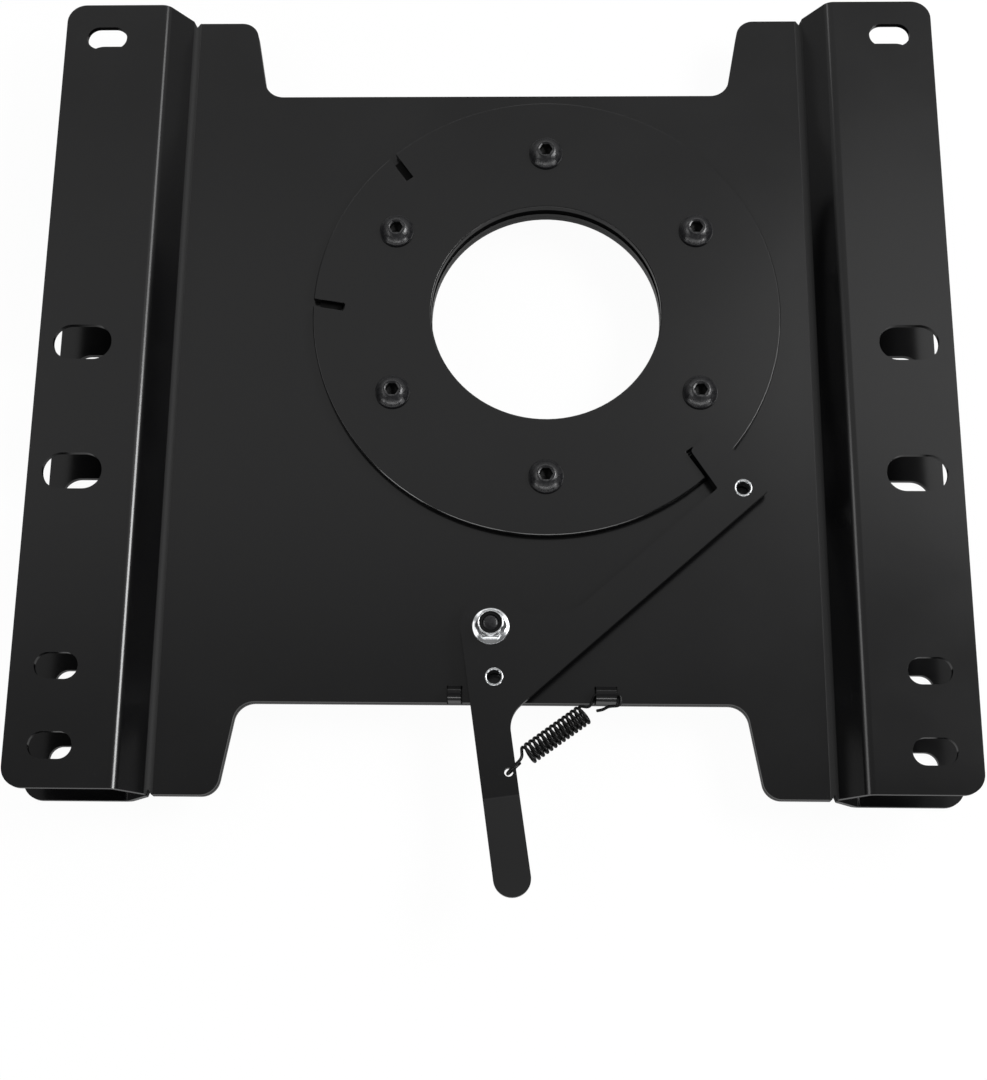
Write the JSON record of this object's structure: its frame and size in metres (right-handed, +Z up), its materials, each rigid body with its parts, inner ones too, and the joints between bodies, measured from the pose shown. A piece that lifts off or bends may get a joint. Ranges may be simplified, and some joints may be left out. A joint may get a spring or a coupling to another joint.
{
  "type": "swivel seat base",
  "caption": "Low swivel base for a van or caravan seat: two pressed steel plates that turn about an off-centre bolted disc, with a sprung lever that locks the turn.",
  "frame": {"origin": "centre of the lower four-bolt pattern, on the underside of the lower wings", "axes": "+X to the right, +Y to the back, away from the lever's handle, +Z up"},
  "size_m": [0.456, 0.4652, 0.0466],
  "materials": {
    "black_coat": "black powder coat, semi-gloss with a fine orange peel",
    "black_steel": "black-oxide screws and stud, slightly oily",
    "zinc": "bright zinc plate on nuts and rivets",
    "spring_steel": "black spring wire",
    "nylon": "dark nylon glide rings and pads",
    "bush_steel": "turned steel"
  },
  "bodies": {
    "lower_frame": {"lower_plate": "black_coat", "backing_ring": "black_coat", "spacer_ring": "black_coat", "lock_disc": "black_coat", "lower_glide_ring": "nylon", "disc_screw_1": "black_steel", "disc_screw_2": "black_steel", "disc_screw_3": "black_steel", "disc_screw_4": "black_steel", "disc_screw_5": "black_steel", "disc_screw_6": "black_steel", "disc_nut_1": "zinc", "disc_nut_2": "zinc", "disc_nut_3": "zinc", "disc_nut_4": "zinc", "disc_nut_5": "zinc", "disc_nut_6": "zinc"},
    "upper_frame": {"upper_plate": "black_coat", "upper_glide_ring": "nylon", "pivot_stud": "black_steel", "pivot_bush": "bush_steel", "pivot_nut": "zinc"},
    "lever": {"lock_lever": "black_coat", "lever_pad_1": "nylon", "lever_pad_2": "nylon", "lever_rivet_1": "zinc", "lever_rivet_2": "zinc", "return_spring": "spring_steel"}
  },
  "joints": [
    {"name": "seat_swivel", "type": "hinge", "parent": "lower_frame", "child": "upper_frame", "pos_m": [0.0265, 0.038, 0.024], "axis": [0, 0, 1], "range_deg": [-134.7, 180]},
    {"name": "lever_pivot", "type": "hinge", "parent": "upper_frame", "child": "lever", "pos_m": [0, -0.128, 0.032], "axis": [0, 0, 1], "range_deg": [-6.5, 4], "stiffness_Nm_per_rad": 1.2, "deforming": ["return_spring"]}
  ]
}
